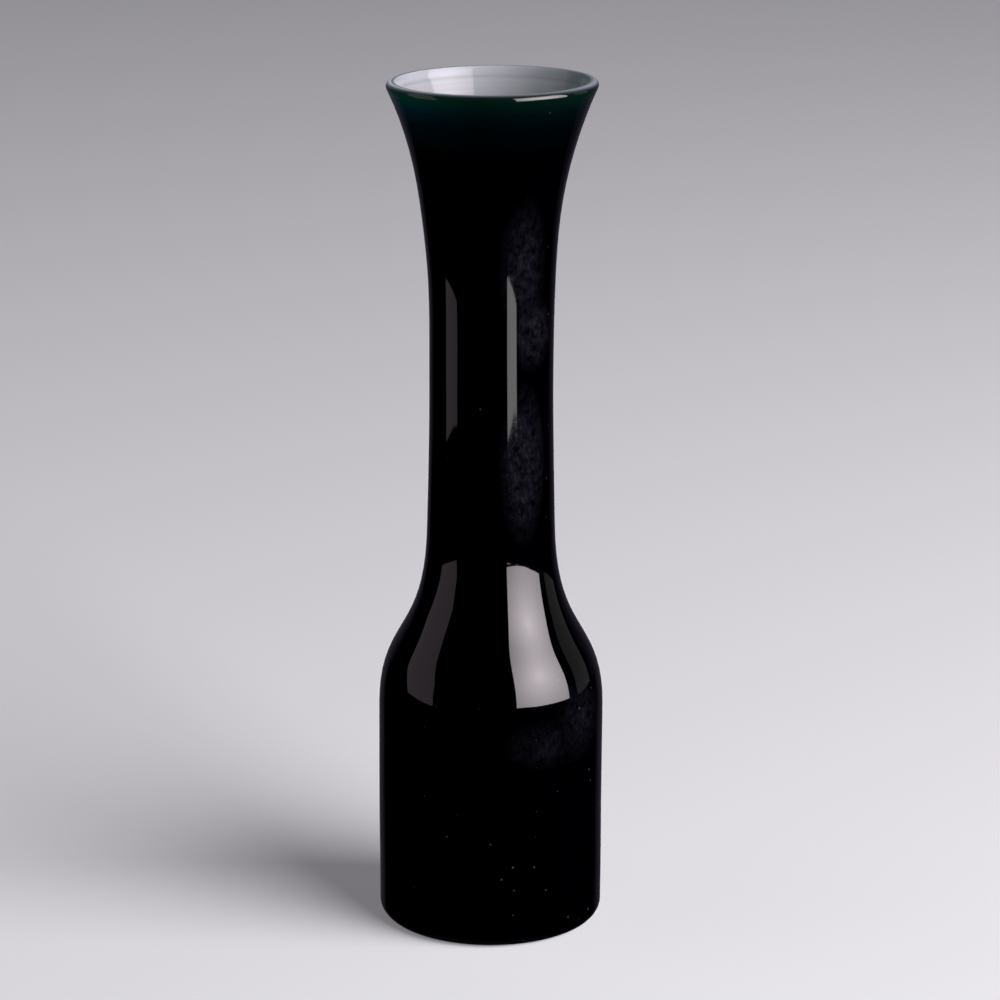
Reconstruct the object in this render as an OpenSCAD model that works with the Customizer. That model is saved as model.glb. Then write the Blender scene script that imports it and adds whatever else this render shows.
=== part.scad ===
// Hand blown bud vase in cased glass: an opal glass bubble, gathered over with very dark
// green glass. Every surface is turned about Z. The base stands on Z = 0.

/* [Outline] */
// Height from the base to the top of the lip
total_h = 150; // [130:1:200]
// Diameter of the straight body
body_d = 39.5; // [32:0.5:60]
// Height at which the body starts to curve in to the shoulder
body_h = 39; // [20:1:60]
// Height of the shoulder, from the body to the foot of the neck
shoulder_h = 30; // [22:0.5:48]
// Diameter at the foot of the neck
neck_foot_d = 22.6; // [18:0.2:28]
// Smallest diameter of the neck, where the flare starts
neck_d = 21.4; // [17:0.2:26]
// Height of the flare, from the neck to the top of the lip
flare_h = 53; // [36:1:75]
// Largest diameter of the lip
mouth_d = 36; // [28:0.2:50]

/* [Curves] */
// How long the body's straight line pulls on the shoulder
shoulder_low_pull = 14.5; // [8:0.5:18]
// How long the neck's line pulls on the shoulder
shoulder_high_pull = 17.5; // [8:0.5:20]
// How long the neck's line pulls on the flare
flare_low_pull = 17.5; // [8:0.5:24]
// How long the lip's line pulls on the flare
flare_high_pull = 17; // [6:0.5:20]
// How far the lip's line leans out from upright, in degrees
flare_lean = 26; // [15:1:40]
// Slope of the neck where it meets the shoulder
neck_slope = 0.06; // [0:0.01:0.1]

/* [Glass] */
// Thickness of the dark casing on the body and neck
casing_wall = 1.6; // [1:0.1:2.5]
// Thickness of the opal lining on the body and neck
lining_wall = 1.2; // [0.8:0.1:2]
// Thickness of the whole lip, half of it casing and half lining
lip_wall = 1.7; // [1.2:0.1:3]
// Thickness of the casing under the lining
casing_floor = 5; // [2:0.5:10]
// Thickness of the lining at the bottom of the well
lining_floor = 2; // [1:0.5:4]
// Radius of the rounded corner at the bottom of the well
well_round = 7; // [3:0.5:9]

/* [Base] */
// Radius of the foot's rounded edge
foot_round = 2.5; // [1:0.5:4]
// Diameter of the polished hollow where the iron was broken off
pontil_d = 18; // [10:1:24]
// Depth of that hollow
pontil_depth = 0.8; // [0.3:0.1:1.5]

/* [Hidden] */
$fn = 180;

curve_steps = 14;
neck_steps = 4;
corner_steps = 7;

body_r = body_d / 2;
neck_foot_z = body_h + shoulder_h;
flare_z = total_h - flare_h;
lip_r = lip_wall / 2;

// The lip is a half circle in section, centred where the two glasses meet.
lip_centre = [mouth_d / 2 - lip_r, total_h - lip_r];
lip_out = [cos(flare_lean), -sin(flare_lean)];
flare_end = lip_centre + lip_r * lip_out;

shoulder_curve = [
    [body_r, body_h],
    [body_r, body_h + shoulder_low_pull],
    [neck_foot_d / 2 + neck_slope * shoulder_high_pull, neck_foot_z - shoulder_high_pull],
    [neck_foot_d / 2, neck_foot_z]
];

// The neck tapers almost evenly, so its two pulls are short shares of its length.
neck_low_pull = (flare_z - neck_foot_z) / 9;
neck_high_pull = (flare_z - neck_foot_z) / 4;
neck_curve = [
    [neck_foot_d / 2, neck_foot_z],
    [neck_foot_d / 2 - neck_slope * neck_low_pull, neck_foot_z + neck_low_pull],
    [neck_d / 2, flare_z - neck_high_pull],
    [neck_d / 2, flare_z]
];

flare_curve = [
    [neck_d / 2, flare_z],
    [neck_d / 2, flare_z + flare_low_pull],
    flare_end - flare_high_pull * [sin(flare_lean), cos(flare_lean)],
    flare_end
];

function bezier(p, t) =
    pow(1 - t, 3) * p[0] + 3 * t * pow(1 - t, 2) * p[1]
    + 3 * t * t * (1 - t) * p[2] + pow(t, 3) * p[3];

function bezier_heading(p, t) =
    pow(1 - t, 2) * (p[1] - p[0]) + 2 * t * (1 - t) * (p[2] - p[1]) + t * t * (p[3] - p[2]);

// A station is a point of the outside and the direction that faces away from the glass there.
function station(p, t) =
    let (heading = bezier_heading(p, t))
    [bezier(p, t), [heading.y, -heading.x] / norm(heading)];

function stations(p, first, last) = [for (i = [first:last]) station(p, i / last)];

function arc(centre, r, from, to) =
    [for (i = [0:corner_steps])
        let (a = from + (to - from) * i / corner_steps)
        centre + r * [cos(a), sin(a)]];

function reversed(list) = [for (i = [len(list) - 1:-1:0]) list[i]];

wall_stations = concat(
    stations(shoulder_curve, 0, curve_steps),
    stations(neck_curve, 1, neck_steps),
    stations(flare_curve, 1, curve_steps)
);

// A layer keeps its wall up to the flare, then thins or thickens evenly to its half of the lip.
function thickness(wall, z) =
    wall + (lip_r - wall) * max(0, (z - flare_z) / (flare_end.y - flare_z));

function casing_inset(s) = s[0] - thickness(casing_wall, s[0].y) * s[1];
function lining_inset(s) = casing_inset(s) - thickness(lining_wall, s[0].y) * s[1];

outside_line = [for (s = wall_stations) s[0]];
seam_line = [for (s = wall_stations) casing_inset(s)];
inside_line = [for (s = wall_stations) lining_inset(s)];

// Rounded bottom of a layer's inner side, from the axis out to the upright wall.
function well(r, z, corner) =
    concat([[0, z]], arc([r - corner, z + corner], corner, -90, 0));

seam_bottom = well(body_r - casing_wall, casing_floor, well_round + lining_wall);
inside_bottom = well(
    body_r - casing_wall - lining_wall, casing_floor + lining_floor, well_round
);

foot_line = arc([body_r - foot_round, foot_round], foot_round, -90, 0);
lip_outer_line = arc(lip_centre, lip_r, -flare_lean, 90);
lip_inner_line = arc(lip_centre, lip_r, 90, 180 - flare_lean);

pontil_r = pontil_d / 2;
pontil_sphere_r = (pontil_r * pontil_r + pontil_depth * pontil_depth) / (2 * pontil_depth);

module dark_casing()
    color([0.01, 0.05, 0.04])
        difference() {
            rotate_extrude()
                polygon(concat(
                    [[0, 0]], foot_line, outside_line, lip_outer_line,
                    reversed(seam_line), reversed(seam_bottom)
                ));
            translate([0, 0, pontil_depth - pontil_sphere_r])
                sphere(r = pontil_sphere_r);
        }

module opal_lining()
    color([0.86, 0.85, 0.90])
        rotate_extrude()
            polygon(concat(
                seam_bottom, seam_line, lip_inner_line,
                reversed(inside_line), reversed(inside_bottom)
            ));

dark_casing();
opal_lining();
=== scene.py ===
# Hand blown bud vase: an opal glass bubble cased in very dark green glass, on a pale studio floor.
import math

import bpy
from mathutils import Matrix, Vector


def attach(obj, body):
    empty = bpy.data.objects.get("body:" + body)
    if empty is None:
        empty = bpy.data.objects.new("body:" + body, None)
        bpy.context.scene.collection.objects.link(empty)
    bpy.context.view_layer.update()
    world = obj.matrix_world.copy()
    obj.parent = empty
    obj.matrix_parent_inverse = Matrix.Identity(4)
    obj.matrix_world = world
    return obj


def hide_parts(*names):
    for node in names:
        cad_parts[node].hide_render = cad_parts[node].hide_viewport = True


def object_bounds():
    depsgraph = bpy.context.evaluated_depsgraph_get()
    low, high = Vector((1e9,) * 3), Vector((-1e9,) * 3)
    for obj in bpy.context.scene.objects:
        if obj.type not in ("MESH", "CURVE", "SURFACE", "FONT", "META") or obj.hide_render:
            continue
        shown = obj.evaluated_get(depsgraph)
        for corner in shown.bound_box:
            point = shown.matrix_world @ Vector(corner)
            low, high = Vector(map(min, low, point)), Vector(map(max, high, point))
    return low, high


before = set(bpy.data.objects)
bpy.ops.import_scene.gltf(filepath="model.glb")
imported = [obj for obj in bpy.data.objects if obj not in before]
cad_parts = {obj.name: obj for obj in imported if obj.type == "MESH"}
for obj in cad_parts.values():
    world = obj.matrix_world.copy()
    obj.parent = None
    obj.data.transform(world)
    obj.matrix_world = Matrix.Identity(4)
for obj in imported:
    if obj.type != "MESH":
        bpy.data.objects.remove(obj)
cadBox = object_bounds()
vaseHeight = cadBox[1].z
mm = 0.001
print("frame loaded, vase height", round(vaseHeight / mm, 1), "mm")


# A colour as a designer writes it, turned into the linear values that Blender's sockets take.
def linear(hexColour):
    channels = [int(hexColour[i : i + 2], 16) / 255 for i in (1, 3, 5)]
    return tuple(c / 12.92 if c <= 0.04045 else ((c + 0.055) / 1.055) ** 2.4 for c in channels) + (1,)


def addNode(tree, kind, settings=None, links=None):
    node = tree.nodes.new(kind)
    for name, value in (settings or {}).items():
        if isinstance(name, int) or name in node.inputs:
            node.inputs[name].default_value = value
        else:
            setattr(node, name, value)
    for name, socket in (links or {}).items():
        tree.links.new(socket, node.inputs[name])
    return node


def newMaterial(name):
    material = bpy.data.materials.new(name)
    material.use_nodes = True
    material.node_tree.nodes.clear()
    return material, material.node_tree


def deselectAll():
    if bpy.context.object and bpy.context.object.mode != "OBJECT":
        bpy.ops.object.mode_set(mode="OBJECT")
    bpy.ops.object.select_all(action="DESELECT")


camera = {
    "distance": 0.6575,
    "elevation": 15.52,  # degrees above the horizon
    "lens": 135.5,
    "aimSide": 0.00156,  # metres to the right of the vase's axis
    "aimHeight": 0.508,  # share of the vase's height
    "roll": 0.16,
}


def placeCamera():
    tilt = math.radians(camera["elevation"])
    aimHeight = camera["aimHeight"] * vaseHeight
    bpy.ops.object.camera_add()
    shot = bpy.context.object
    shot.name = "studioCamera"
    shot.location = (
        camera["aimSide"],
        -camera["distance"] * math.cos(tilt),
        aimHeight + camera["distance"] * math.sin(tilt),
    )
    shot.rotation_euler = (math.pi / 2 - tilt, 0, 0)
    shot.rotation_euler.rotate_axis("Z", math.radians(camera["roll"]))
    shot.data.lens = camera["lens"]
    shot.data.sensor_width = 36
    shot.data.clip_start = 0.01
    shot.data.clip_end = 20
    bpy.context.scene.camera = shot


placeCamera()
print("camera placed")

# The blown outline, shared by both glasses. A knot is a point of the outside wall: its radius and
# height, how far the wall leans out from upright there, and how strongly that lean pulls on the curve
# below it and above it. Millimetres and degrees.
lip = {"mouthRadius": 18.0, "rollRadius": 0.85, "lean": 26, "beadSide": 1.3}
rollCentre = (lip["mouthRadius"] - lip["rollRadius"], vaseHeight / mm - lip["rollRadius"])
lipTop = (rollCentre[0], vaseHeight / mm)
rollPull = 4 / 3 * math.tan(math.radians(90 + lip["lean"]) / 4) * lip["rollRadius"]
lipOutside = (
    rollCentre[0] + lip["rollRadius"] * math.cos(math.radians(lip["lean"])),
    rollCentre[1] - lip["rollRadius"] * math.sin(math.radians(lip["lean"])),
)
wall = [
    {"at": (19.75, 39), "lean": 0, "pulls": (0, 14.5)},
    {"at": (11.3, 69), "lean": -3.4, "pulls": (17.5, 3.1)},
    {"at": (10.7, 97), "lean": 0, "pulls": (7, 17.5)},
    {"at": lipOutside, "lean": lip["lean"], "pulls": (17, 0)},
]
arcPull = 0.5523  # pull of a quarter circle, as a share of its radius


def insideOf(depth, lipDepth):  # the wall's knots, moved into the glass
    moved = []
    for knot in wall:
        inward = lipDepth if knot is wall[-1] else depth
        lean = math.radians(knot["lean"])
        r, z = knot["at"]
        moved.append(dict(knot, at=(r - inward * math.cos(lean), z + inward * math.sin(lean))))
    return moved


def goingUp(knots):  # each knot as a curve point: the handle before it, its place, the handle after it
    points = []
    for knot in knots:
        at = Vector(knot["at"])
        lean = math.radians(knot["lean"])
        along = Vector((math.sin(lean), math.cos(lean)))
        before, after = knot["pulls"]
        points.append((at - before * along, at, at + after * along))
    return points


def goingBack(points):
    return [tuple(reversed(point)) for point in reversed(points)]


# Behind its round bead the lip is nipped slightly, where the tool turned it: the last stretch of the
# wall is split there, and the new point is pushed into the glass.
def nipBelowBead(points, depth):
    (lowBefore, low, lowAfter), (endBefore, end, endAfter) = points[-2:]
    share = 1 - lip["beadSide"] / (3 * (end - endBefore).length)
    first, second, third = (
        a.lerp(b, share) for a, b in ((low, lowAfter), (lowAfter, endBefore), (endBefore, end))
    )
    under, over = first.lerp(second, share), second.lerp(third, share)
    nip = under.lerp(over, share)
    push = depth * Vector((over.y - under.y, under.x - over.x)).normalized()
    nipped = tuple(point + push for point in (under, nip, over))
    return points[:-2] + [(lowBefore, low, first), nipped, (third, end, endAfter)]


def bottomOf(radius, height, rounding):  # a bubble's bottom, from its side in to the axis
    pull = arcPull * rounding
    side = (radius, height + rounding)
    flat = (radius - rounding, height)
    return [
        (side, side, (radius, side[1] - pull)),
        ((flat[0] + pull, height), flat, flat),
        ((0, height), (0, height), (0, height)),
    ]


def drawProfile(name, points, steps):
    deselectAll()
    bpy.ops.curve.primitive_bezier_curve_add(location=(0, 0, 0))
    drawn = bpy.context.object
    drawn.name = name
    drawn.data.dimensions = "3D"
    drawn.data.resolution_u = steps
    drawn.data.splines.clear()
    spline = drawn.data.splines.new("BEZIER")
    spline.bezier_points.add(len(points) - 1)
    for knot, (before, at, after) in zip(spline.bezier_points, points):
        knot.handle_left_type = knot.handle_right_type = "FREE"
        knot.handle_left = (before[0] * mm, 0, before[1] * mm)
        knot.co = (at[0] * mm, 0, at[1] * mm)
        knot.handle_right = (after[0] * mm, 0, after[1] * mm)
    bpy.ops.object.convert(target="MESH")
    return bpy.context.object


seamReach = 0.002 * mm  # points closer than this become one, on the axis and where the turn closes
creaseAngle = 35  # a sharper turn than this keeps its edge


def turnProfile(steps):
    bpy.ops.object.mode_set(mode="EDIT")
    bpy.ops.mesh.select_all(action="SELECT")
    bpy.ops.mesh.spin(steps=steps, angle=2 * math.pi, center=(0, 0, 0), axis=(0, 0, 1))
    bpy.ops.mesh.select_all(action="SELECT")
    bpy.ops.mesh.remove_doubles(threshold=seamReach)
    bpy.ops.mesh.normals_make_consistent(inside=False)
    bpy.ops.object.mode_set(mode="OBJECT")
    bpy.ops.object.shade_smooth_by_angle(angle=math.radians(creaseAngle))


# Distance from the top of the lip, kept on every point for the colours that follow the lip. At the
# front and back it is edgeRise millimetres more than at the sides, so the lip's colours run darker
# there.
def measureFromLip(piece, edgeRise):
    fromLip = piece.data.attributes.new("fromLip", "FLOAT", "POINT")
    for vertex, value in zip(piece.data.vertices, fromLip.data):
        radius = math.hypot(vertex.co.x, vertex.co.y)
        facing = abs(vertex.co.y) / max(radius, mm)
        value.value = math.dist((radius / mm, vertex.co.z / mm), lipTop) + edgeRise * facing


# What the breath and the tools leave: low waves and swells in the wall, and a rim not quite level.
unevenness = {
    "waves": [  # lobes round the vase, millimetres high, turn per millimetre of height, start
        (2, 0.045, 0.030, 0.6),
        (3, 0.030, -0.055, 2.1),
        (5, 0.014, 0.090, 4.0),
        (1, 0.040, 0.160, 1.2),
    ],
    "swells": [  # height, reach up and down, growth all round, shift towards +X
        (143, 10, 0.17, 0.10),
        (126, 9, 0.08, -0.17),
        (104, 18, 0.07, 0.03),
        (60, 11, -0.05, 0.09),
    ],
    "footKept": 4.0,  # millimetres from the base that stay true
    "footEase": 10.0,  # millimetres over which the waves grow above that
    "axisKept": 8.0,  # they fade within this radius
    "rimRise": (0.16, -0.17),  # millimetres up towards +X and towards +Y
    "rimLift": 0.05,  # and all round
    "rimReach": 30.0,  # the tilt of the rim dies out this far down
}


def blowUneven(piece):
    for vertex in piece.data.vertices:
        x, y, z = (c / mm for c in vertex.co)
        radius = math.hypot(x, y)
        around = math.atan2(y, x)
        push = sum(
            height * math.sin(lobes * around + start + turn * z)
            for lobes, height, turn, start in unevenness["waves"]
        )
        for height, reach, growth, shift in unevenness["swells"]:
            push += (growth + shift * math.cos(around)) * math.exp(-(((z - height) / reach) ** 2))
        aboveFoot = min(1, max(0, (z - unevenness["footKept"]) / unevenness["footEase"]))
        ease = aboveFoot * min(1, radius / unevenness["axisKept"])
        grow = 1 + push * ease / max(radius, 1)
        nearRim = max(0, 1 - (lipTop[1] - z) / unevenness["rimReach"]) ** 2
        riseX, riseY = unevenness["rimRise"]
        rise = nearRim * (unevenness["rimLift"] + (riseX * x + riseY * y) / lip["mouthRadius"])
        vertex.co = (x * grow * mm, y * grow * mm, (z + rise) * mm)


casing = {
    "wall": 1.6,
    "floor": 5.0,
    "footRound": 2.5,
    "hollowRadius": 9.0,  # polished hollow where the iron was broken off
    "hollowDepth": 0.8,
    "hollowPull": 0.2,  # share of its depth, which curves its side
    "edgeRise": 0.5,  # added to the distance from the lip at front and back, so the lip's colours run darker there
    "turnSteps": 192,
    "curveSteps": 18,
}
lining = {
    "wall": 1.2,
    "floor": 2.0,
    "wellRound": 7.0,
    "nip": 0.12,  # depth of the groove under the bead, inside
    "edgeRise": 0.0,
    "turnSteps": 192,
    "curveSteps": 18,
}
bodyRadius = wall[0]["at"][0]
seam = insideOf(casing["wall"], lip["rollRadius"])
inside = insideOf(casing["wall"] + lining["wall"], 2 * lip["rollRadius"])
seamRound = lining["wellRound"] + lining["wall"]
seamBottom = bottomOf(bodyRadius - casing["wall"], casing["floor"], seamRound)


def makeCasing():
    footRound = casing["footRound"]
    hollow = casing["hollowRadius"]
    hollowTop = (0, casing["hollowDepth"])
    footIn = (bodyRadius - footRound, 0)
    footOut = (bodyRadius, footRound)
    foot = [
        (hollowTop, hollowTop, (hollow / 2, casing["hollowDepth"])),
        ((hollow / 2, casing["hollowPull"] * casing["hollowDepth"]), (hollow, 0), (hollow, 0)),
        (footIn, footIn, (footIn[0] + arcPull * footRound, 0)),
        ((bodyRadius, footRound * (1 - arcPull)), footOut, footOut),
    ]
    outside = goingUp(wall[:-1] + [dict(wall[-1], pulls=(wall[-1]["pulls"][0], rollPull))])
    top = ((lipTop[0] + rollPull, lipTop[1]), lipTop, lipTop)
    drawProfile(
        "cased_glass",
        foot + outside + [top] + goingBack(goingUp(seam)) + seamBottom,
        casing["curveSteps"],
    )
    turnProfile(casing["turnSteps"])
    return bpy.context.object


def makeLining():
    innerBottom = bottomOf(
        bodyRadius - casing["wall"] - lining["wall"],
        casing["floor"] + lining["floor"],
        lining["wellRound"],
    )
    inner = goingUp(inside[:-1] + [dict(inside[-1], pulls=(inside[-1]["pulls"][0], rollPull))])
    top = (lipTop, lipTop, (lipTop[0] - rollPull, lipTop[1]))
    drawProfile(
        "opal_glass",
        goingBack(seamBottom)
        + goingUp(seam)
        + [top]
        + goingBack(nipBelowBead(inner, lining["nip"]))
        + innerBottom,
        lining["curveSteps"],
    )
    turnProfile(lining["turnSteps"])
    return bpy.context.object


# Blown glass, fire polished: a mirror-smooth skin over a body so dark that it reads as black. At the
# lip the casing thins out over the opal, so it turns bottle green and then milky grey; a painted glow
# adds to both, standing in for light from inside that leaves through the thin glass.
darkGlass = {
    "byLip": [  # millimetres from the top of the lip, and the colour there
        (0.0, "#b6bac6"),
        (0.4, "#8e949d"),
        (0.65, "#6c737a"),
        (0.85, "#454c50"),
        (1.05, "#20292a"),
        (1.25, "#0a1412"),
        (1.5, "#040f0b"),
        (2.4, "#020e0a"),
        (4.0, "#010606"),
        (6.5, "#000203"),
        (12.0, "#000001"),
    ],
    "paintedGlowByLip": [  # painted glow: emission standing in for light from inside the bubble that leaves through the thin glass
        (0.0, "#4a4e56"),
        (0.4, "#3e4348"),
        (0.65, "#2c3134"),
        (0.85, "#1a2021"),
        (1.05, "#0c1212"),
        (1.3, "#030a09"),
        (2.0, "#000d07"),
        (2.6, "#000a0a"),
        (4.0, "#000507"),
        (6.5, "#000203"),
        (12.0, "#000000"),
    ],
    "reach": 12.0,
    # painted glow: up to 4.5 times stronger towards the left of the lip
    "paintedGlowLeftBoost": {"From Min": -17 * mm, "From Max": -2 * mm, "To Min": 4.5, "To Max": 1.0},
    "roughness": 0.025,
    "ior": 1.52,
    "smudge": "#8886a0",  # skin grease, a thin cool haze
    "smudgeMost": 0.055,
    "smudgeRoughness": 0.14,
    "patches": {"Scale": 650.0, "Detail": 5.0, "Roughness": 0.7},  # blotches about 1.5 mm across
    "patchEdge": {"From Min": 0.32, "From Max": 0.7},
    "heldEdge": {"From Max": 0.6},
    "wipe": {"Rotation": (0.7, 0.5, 0), "Scale": (2600, 2600, 900)},  # strokes 0.4 mm wide, 1 mm long
    "wipeEdge": {"From Min": 0.3, "From Max": 0.7, "To Min": 0.35},
    "dust": "#3e3e44",
    "dustScale": 520.0,  # one grain at most in each 2 mm
    "dustGrain": {"From Min": 0.12, "From Max": 0.05},  # share of its 2 mm cell
    "dustShare": {"From Max": 0.12, "To Min": 0.22, "To Max": 0.10},  # of cells, base to 120 mm up
    "dustBright": {"From Max": 0.12},
}
# Where hands have held it: centre and half sizes in millimetres, and how strongly it shows.
smudges = [
    {"at": (5.4, -9.5, 120), "size": (4.5, 6, 13), "show": 0.75},
    {"at": (7, -8, 108), "size": (4.5, 6, 7), "show": 1.0},
    {"at": (5.5, -9, 85), "size": (4.5, 6, 15), "show": 1.0},
    {"at": (16, -12, 40), "size": (6, 8, 8), "show": 0.5},
    {"at": (9, -17, 37), "size": (8, 6, 5), "show": 0.4},
    {"at": (-9, 6, 95), "size": (7, 8, 22), "show": 0.6},
    {"at": (-12, 16, 30), "size": (13, 9, 14), "show": 0.5},
]


def lipColours(tree, stops, reach):
    fromLip = addNode(tree, "ShaderNodeAttribute", {"attribute_name": "fromLip"})
    share = addNode(
        tree, "ShaderNodeMath", {"operation": "DIVIDE", 1: reach}, {0: fromLip.outputs["Fac"]}
    )
    ramp = addNode(tree, "ShaderNodeValToRGB", links={"Fac": share.outputs[0]})
    elements = ramp.color_ramp.elements
    while len(elements) < len(stops):
        elements.new(1.0)
    for element, (distance, hexColour) in zip(elements, stops):
        element.position = distance / reach
        element.color = linear(hexColour)
    return ramp.outputs["Color"]


def smudgeField(tree, place):
    held = None
    for smudge in smudges:
        inPatch = addNode(
            tree,
            "ShaderNodeMapping",
            {
                "vector_type": "TEXTURE",
                "Location": [c * mm for c in smudge["at"]],
                "Scale": [c * mm for c in smudge["size"]],
            },
            {"Vector": place},
        )
        ball = addNode(
            tree, "ShaderNodeTexGradient", {"gradient_type": "SPHERICAL"}, {0: inPatch.outputs[0]}
        )
        shown = addNode(
            tree, "ShaderNodeMath", {"operation": "MULTIPLY", 1: smudge["show"]}, {0: ball.outputs[1]}
        )
        if held:
            shown = addNode(
                tree,
                "ShaderNodeMath",
                {"operation": "MAXIMUM"},
                {0: held.outputs[0], 1: shown.outputs[0]},
            )
        held = shown
    patches = addNode(tree, "ShaderNodeTexNoise", darkGlass["patches"], {"Vector": place})
    wiped = addNode(tree, "ShaderNodeMapping", darkGlass["wipe"], {"Vector": place})
    streaks = addNode(
        tree, "ShaderNodeTexNoise", {"Scale": 1.0, "Detail": 2.0}, {"Vector": wiped.outputs[0]}
    )
    field = addNode(tree, "ShaderNodeMapRange", darkGlass["patchEdge"], {"Value": patches.outputs[0]})
    for source, edge in ((held, "heldEdge"), (streaks, "wipeEdge")):
        ranged = addNode(tree, "ShaderNodeMapRange", darkGlass[edge], {"Value": source.outputs[0]})
        field = addNode(
            tree,
            "ShaderNodeMath",
            {"operation": "MULTIPLY"},
            {0: field.outputs[0], 1: ranged.outputs[0]},
        )
    return field.outputs[0]


# Dust: grains 0.2 to 0.4 mm across, one or two in a square centimetre, more towards the base.
def dustField(tree, place):
    height = addNode(tree, "ShaderNodeSeparateXYZ", links={0: place})
    cells = addNode(tree, "ShaderNodeTexVoronoi", {"Scale": darkGlass["dustScale"]}, {"Vector": place})
    grain = addNode(
        tree, "ShaderNodeMapRange", darkGlass["dustGrain"], {"Value": cells.outputs["Distance"]}
    )
    chance = addNode(tree, "ShaderNodeSeparateColor", links={0: cells.outputs["Color"]})
    share = addNode(tree, "ShaderNodeMapRange", darkGlass["dustShare"], {"Value": height.outputs["Z"]})
    left = addNode(
        tree, "ShaderNodeMath", {"operation": "SUBTRACT"}, {0: share.outputs[0], 1: chance.outputs[0]}
    )
    bright = addNode(tree, "ShaderNodeMapRange", darkGlass["dustBright"], {"Value": left.outputs[0]})
    return addNode(
        tree, "ShaderNodeMath", {"operation": "MULTIPLY"}, {0: grain.outputs[0], 1: bright.outputs[0]}
    ).outputs[0]


def makeDarkGlass():
    material, tree = newMaterial("blown dark green glass")
    place = addNode(tree, "ShaderNodeTexCoord").outputs["Object"]
    smudge = smudgeField(tree, place)
    haze = addNode(
        tree, "ShaderNodeMath", {"operation": "MULTIPLY", 1: darkGlass["smudgeMost"]}, {0: smudge}
    )
    handled = addNode(
        tree,
        "ShaderNodeMix",
        {"data_type": "RGBA", 7: linear(darkGlass["smudge"])},
        {0: haze.outputs[0], 6: lipColours(tree, darkGlass["byLip"], darkGlass["reach"])},
    )
    dusty = addNode(
        tree,
        "ShaderNodeMix",
        {"data_type": "RGBA", 7: linear(darkGlass["dust"])},
        {0: dustField(tree, place), 6: handled.outputs[2]},
    )
    # Painted glow: more light leaves round the left of the lip, the side away from the key, because the
    # emission is boosted there.
    sideways = addNode(tree, "ShaderNodeSeparateXYZ", links={0: place})
    leftGlowBoost = addNode(tree, "ShaderNodeMapRange", darkGlass["paintedGlowLeftBoost"], {"Value": sideways.outputs["X"]})
    glow = addNode(
        tree,
        "ShaderNodeVectorMath",
        {"operation": "SCALE"},
        {0: lipColours(tree, darkGlass["paintedGlowByLip"], darkGlass["reach"]), "Scale": leftGlowBoost.outputs[0]},
    )
    rough = addNode(
        tree,
        "ShaderNodeMapRange",
        {"To Min": darkGlass["roughness"], "To Max": darkGlass["smudgeRoughness"]},
        {"Value": smudge},
    )
    shader = addNode(
        tree,
        "ShaderNodeBsdfPrincipled",
        {"IOR": darkGlass["ior"], "Emission Strength": 1.0},
        {
            "Base Color": dusty.outputs[2],
            "Roughness": rough.outputs[0],
            # painted glow round the lip
            "Emission Color": glow.outputs[0],
        },
    )
    addNode(tree, "ShaderNodeOutputMaterial", links={"Surface": shader.outputs["BSDF"]})
    return material


# Opal glass, blown: milky lilac white and glossy, with a painted glow near the lip that stands in for
# light from behind where the lip is thin. Fine rings run round it, where it turned on the iron, and it
# looks colder towards the lip.
opalGlass = {
    "byLip": [
        (0.0, "#9ea4aa"),
        (0.8, "#9fa5aa"),
        (1.7, "#9ea3a9"),
        # painted shade: a darker band in the groove under the bead
        (2.2, "#929599"),
        (2.6, "#9ea2a6"),
        (6.0, "#9fa2a6"),
        (20.0, "#9ea0a4"),
    ],
    "reach": 20.0,
    "paintedGlowByLip": [  # painted glow: emission standing in for light that enters through the thin glass of the lip
        (0.0, "#23302e"),
        (6.0, "#263432"),
        (11.0, "#0c1010"),
        (20.0, "#000000"),
    ],
    "ring": "#87868f",
    "ringScale": (12, 12, 1500),  # rings about 0.7 mm apart
    "ringEdge": {"From Min": 0.45, "From Max": 0.7, "To Max": 0.35},
    "ringBump": {"Strength": 0.25, "Distance": 0.02 * mm},
    "roughness": 0.06,
    "ior": 1.52,
    "specular": 0.3,
}


def makeOpalGlass():
    material, tree = newMaterial("blown opal glass")
    place = addNode(tree, "ShaderNodeTexCoord").outputs["Object"]
    around = addNode(tree, "ShaderNodeMapping", {"Scale": opalGlass["ringScale"]}, {"Vector": place})
    rings = addNode(
        tree, "ShaderNodeTexNoise", {"Scale": 1.0, "Detail": 3.0}, {"Vector": around.outputs[0]}
    )
    amount = addNode(tree, "ShaderNodeMapRange", opalGlass["ringEdge"], {"Value": rings.outputs["Fac"]})
    ringed = addNode(
        tree,
        "ShaderNodeMix",
        {"data_type": "RGBA", 7: linear(opalGlass["ring"])},
        {0: amount.outputs[0], 6: lipColours(tree, opalGlass["byLip"], opalGlass["reach"])},
    )
    bump = addNode(tree, "ShaderNodeBump", opalGlass["ringBump"], {"Height": rings.outputs["Fac"]})
    shader = addNode(
        tree,
        "ShaderNodeBsdfPrincipled",
        {
            "Roughness": opalGlass["roughness"],
            "IOR": opalGlass["ior"],
            "Specular IOR Level": opalGlass["specular"],
            "Emission Strength": 1.0,
        },
        {
            "Base Color": ringed.outputs[2],
            "Normal": bump.outputs["Normal"],
            # painted glow near the lip
            "Emission Color": lipColours(tree, opalGlass["paintedGlowByLip"], opalGlass["reach"]),
        },
    )
    addNode(tree, "ShaderNodeOutputMaterial", links={"Surface": shader.outputs["BSDF"]})
    return material


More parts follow.
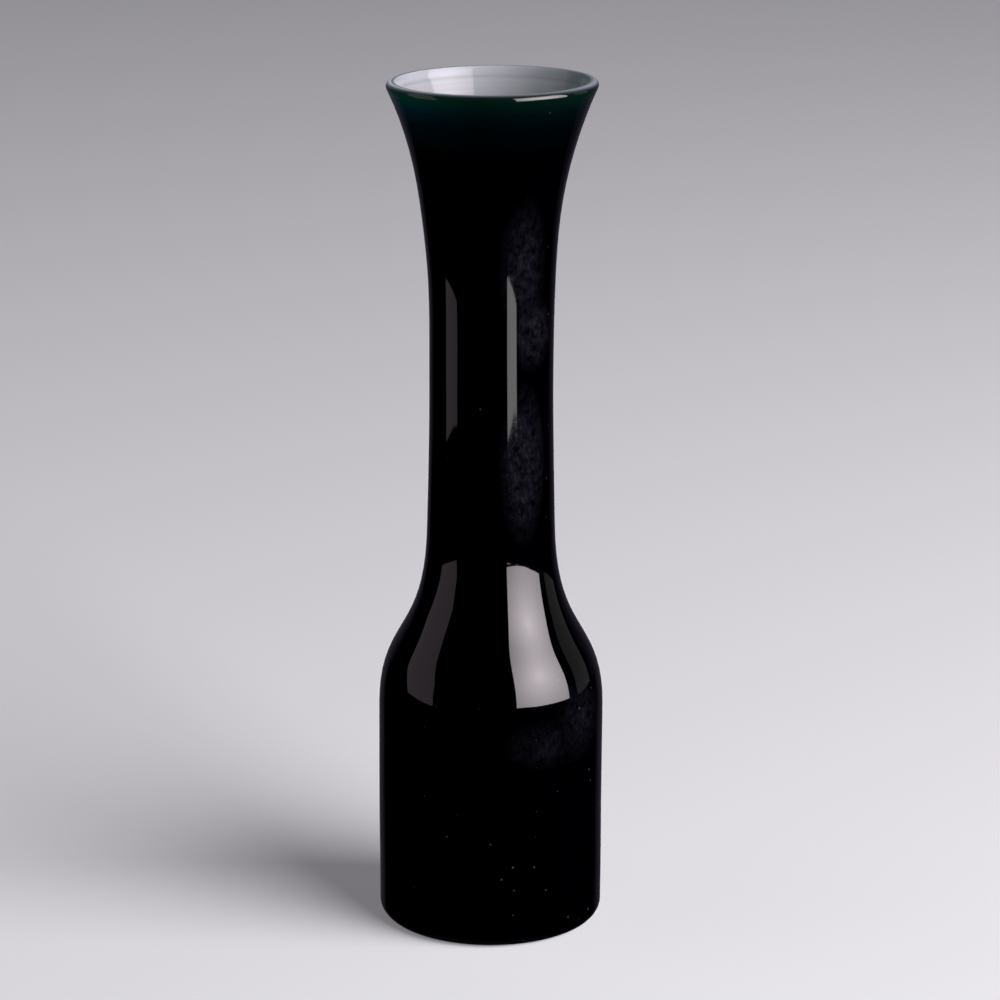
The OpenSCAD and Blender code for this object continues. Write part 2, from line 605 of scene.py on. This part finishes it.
for make, size, makeMaterial, node, slotName in (
    (makeCasing, casing, makeDarkGlass, "dark_casing", "dark_green_glass"),
    (makeLining, lining, makeOpalGlass, "opal_lining", "opal_glass"),
):
    piece = make()
    measureFromLip(piece, size["edgeRise"])
    blowUneven(piece)
    piece.data.materials.clear()
    piece.data.materials.append(makeMaterial())
    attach(piece, "root")
    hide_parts(node)
    print(piece.name, "made,", len(piece.data.vertices), "points")

studio = {
    "floorRadius": 2.4,
    "wallHeight": 2.2,
    "paper": "#dfe7e5",
    "overhead": "#e2e0e5",  # even light on the paper alone
    "overheadFill": 0.2,
    "room": "#38333f",
    "roomStrength": 0.4,
    "backdropStrength": 1.5,  # the wall behind is lit more
    "backdropFrom": 0.7,  # how far round it starts, 1 is straight behind
}
# A softbox stands at an azimuth (0 is the camera's side, positive to its right) and a distance from
# the vase. Its heights, width and distance are metres, and its glow is the light of its face.
softboxes = {
    "key": {
        "azimuth": 57,
        "distance": 1.0,
        "bottom": -0.05,
        "top": 1.25,
        "width": 1.2,
        "glow": 12.4,
    },
    "rightFill": {
        "azimuth": 112.5,
        "distance": 1.0,
        "bottom": -0.06,
        "top": 0.9,
        "width": 0.44,
        "glow": 0.17,
    },
}
# The lamp in the key: centre and reach as shares of its face, and the light left at the edge.
hotSpot = {"colour": "#fff4fb", "centre": (0.5, 0.4), "reach": (1.1, 0.95), "edge": 0.28}
# Reflectors stand round the vase: each corner is an azimuth in degrees and a height in metres.
reflectors = {
    "leftReflector": {
        "distance": 1.0,
        "glow": 0.47,
        "colour": "#ffe8f6",
        "corners": [
            (-91, -0.20),
            (-66, -0.18),
            (-61, 0.0),
            (-63, 0.3),
            (-71, 0.6),
            (-80, 1.0),
            (-112, 1.0),
            (-108, 0.5),
            (-105, 0.25),
            (-94, 0.0),
        ],
    },
    "keyReflector": {
        "distance": 1.0,
        "glow": 2.75,
        "colour": "#ffffff",
        "corners": [(29, -0.235), (46, -0.175), (46, -0.05), (27, -0.05)],
    },
}
# Black cards curve loosely round the vase, one low and near, one far behind the softboxes. Only
# reflections see them, and they keep the room's light out of the glass. A knot is an azimuth in
# degrees, a distance and the height of the card's top there, in metres.
blackCards = {
    "nearBlackCard": {
        "depth": 0.35,
        "knots": [
            (-138, 0.21, 0.036),
            (-93, 0.215, 0.036),
            (-61, 0.27, 0.028),
            (-20, 0.28, 0.030),
            (24, 0.205, 0.043),
            (45, 0.25, 0.038),
            (80, 0.23, 0.029),
            (110, 0.21, 0.022),
            (136, 0.20, 0.022),
        ],
    },
    "farBlackCard": {
        "depth": 3.1,
        "knots": [(azimuth, 1.3, 2.4) for azimuth in range(-138, 137, 27)],
    },
}


def standing(azimuth, distance, height):  # a point at an azimuth, distance and height
    turn = math.radians(azimuth)
    return (distance * math.sin(turn), -distance * math.cos(turn), height)


def makeFloor():
    deselectAll()
    bpy.ops.mesh.primitive_circle_add(vertices=96, radius=studio["floorRadius"], fill_type="NGON")
    floor = bpy.context.object
    floor.name = "studioFloor"
    bpy.ops.object.mode_set(mode="EDIT")
    bpy.ops.mesh.select_all(action="SELECT")
    bpy.ops.mesh.region_to_loop()
    bpy.ops.mesh.extrude_region_move(TRANSFORM_OT_translate={"value": (0, 0, studio["wallHeight"])})
    bpy.ops.object.mode_set(mode="OBJECT")
    floor.visible_glossy = False  # the paper shows in no reflection and throws no light on the vase
    floor.visible_diffuse = False
    material, tree = newMaterial("pale seamless paper")
    shader = addNode(
        tree,
        "ShaderNodeBsdfPrincipled",
        {
            "Base Color": linear(studio["paper"]),
            "Roughness": 0.9,
            "Specular IOR Level": 0.1,
            "Emission Color": linear(studio["overhead"]),
            "Emission Strength": studio["overheadFill"],
        },
    )
    addNode(tree, "ShaderNodeOutputMaterial", links={"Surface": shader.outputs["BSDF"]})
    floor.data.materials.append(material)


def makeRoom():
    world = bpy.data.worlds.new("studioRoom")
    world.use_nodes = True
    tree = world.node_tree
    tree.nodes.clear()
    direction = addNode(tree, "ShaderNodeTexCoord").outputs["Generated"]
    parts = addNode(tree, "ShaderNodeSeparateXYZ", links={0: direction})
    backdrop = addNode(
        tree,
        "ShaderNodeMapRange",
        {
            "interpolation_type": "SMOOTHSTEP",
            "From Min": studio["backdropFrom"],
            "To Min": studio["roomStrength"],
            "To Max": studio["backdropStrength"],
        },
        {"Value": parts.outputs["Y"]},
    )
    background = addNode(
        tree,
        "ShaderNodeBackground",
        {"Color": linear(studio["room"])},
        {"Strength": backdrop.outputs[0]},
    )
    addNode(tree, "ShaderNodeOutputWorld", links={"Surface": background.outputs[0]})
    bpy.context.scene.world = world


def makeReflectors():
    for name, reflector in reflectors.items():
        corners = reflector["corners"]
        deselectAll()
        bpy.ops.mesh.primitive_circle_add(vertices=len(corners), fill_type="NGON")
        panel = bpy.context.object
        panel.name = name
        for vertex, (azimuth, height) in zip(panel.data.vertices, corners):
            vertex.co = standing(azimuth, reflector["distance"], height)
        panel.visible_camera = False
        panel.visible_shadow = False
        material, tree = newMaterial(name + " white card")
        glow = addNode(
            tree,
            "ShaderNodeEmission",
            {"Color": linear(reflector["colour"]), "Strength": reflector["glow"]},
        )
        addNode(tree, "ShaderNodeOutputMaterial", links={"Surface": glow.outputs[0]})
        panel.data.materials.append(material)


def makeBlackCards():
    material, tree = newMaterial("black card")
    shader = addNode(
        tree,
        "ShaderNodeBsdfPrincipled",
        {"Base Color": linear("#000000"), "Roughness": 1.0, "Specular IOR Level": 0.0},
    )
    addNode(tree, "ShaderNodeOutputMaterial", links={"Surface": shader.outputs["BSDF"]})
    for name, card in blackCards.items():
        deselectAll()
        bpy.ops.curve.primitive_bezier_curve_add(location=(0, 0, 0))
        sheet = bpy.context.object
        sheet.name = name
        sheet.data.dimensions = "3D"
        sheet.data.splines.clear()
        spline = sheet.data.splines.new("BEZIER")
        spline.bezier_points.add(len(card["knots"]) - 1)
        for point, knot in zip(spline.bezier_points, card["knots"]):
            point.co = standing(*knot)
            point.handle_left_type = point.handle_right_type = "AUTO"
        bpy.ops.object.convert(target="MESH")
        bpy.ops.object.mode_set(mode="EDIT")
        bpy.ops.mesh.select_all(action="SELECT")
        bpy.ops.mesh.extrude_region_move(TRANSFORM_OT_translate={"value": (0, 0, -card["depth"])})
        bpy.ops.object.mode_set(mode="OBJECT")
        sheet = bpy.context.object
        for ray in ("camera", "diffuse", "shadow", "transmission", "volume_scatter"):
            setattr(sheet, "visible_" + ray, False)
        sheet.data.materials.clear()
        sheet.data.materials.append(material)


def hangSoftbox(name, box):
    deselectAll()
    middle = (box["bottom"] + box["top"]) / 2
    bpy.ops.object.light_add(
        type="AREA",
        location=standing(box["azimuth"], box["distance"], middle),
        rotation=(math.pi / 2, 0, math.radians(box["azimuth"])),
    )
    light = bpy.context.object
    light.name = name
    light.data.shape = "RECTANGLE"
    light.data.size = box["width"]
    light.data.size_y = box["top"] - box["bottom"]
    light.data.energy = box["glow"] * math.pi * light.data.size * light.data.size_y
    light.visible_camera = False
    return light


def brightCentre(light):  # the lamp inside shows as a hot spot that fades towards the edges
    light.data.use_nodes = True
    tree = light.data.node_tree
    tree.nodes.clear()
    across = addNode(tree, "ShaderNodeNewGeometry").outputs["Parametric"]
    centred = addNode(
        tree,
        "ShaderNodeMapping",
        {
            "vector_type": "TEXTURE",
            "Location": (*hotSpot["centre"], 0),
            "Scale": (*hotSpot["reach"], 1),
        },
        {"Vector": across},
    )
    lamp = addNode(
        tree,
        "ShaderNodeTexGradient",
        {"gradient_type": "QUADRATIC_SPHERE"},
        {0: centred.outputs[0]},
    )
    strength = addNode(
        tree, "ShaderNodeMapRange", {"To Min": hotSpot["edge"]}, {"Value": lamp.outputs["Fac"]}
    )
    glow = addNode(
        tree,
        "ShaderNodeEmission",
        {"Color": linear(hotSpot["colour"])},
        {"Strength": strength.outputs[0]},
    )
    addNode(tree, "ShaderNodeOutputLight", links={"Surface": glow.outputs[0]})


makeFloor()
makeRoom()
makeBlackCards()
makeReflectors()
lights = {name: hangSoftbox(name, box) for name, box in softboxes.items()}
brightCentre(lights["key"])
bpy.context.scene.view_settings.view_transform = "Standard"
print("studio lit with", len(lights), "softboxes")
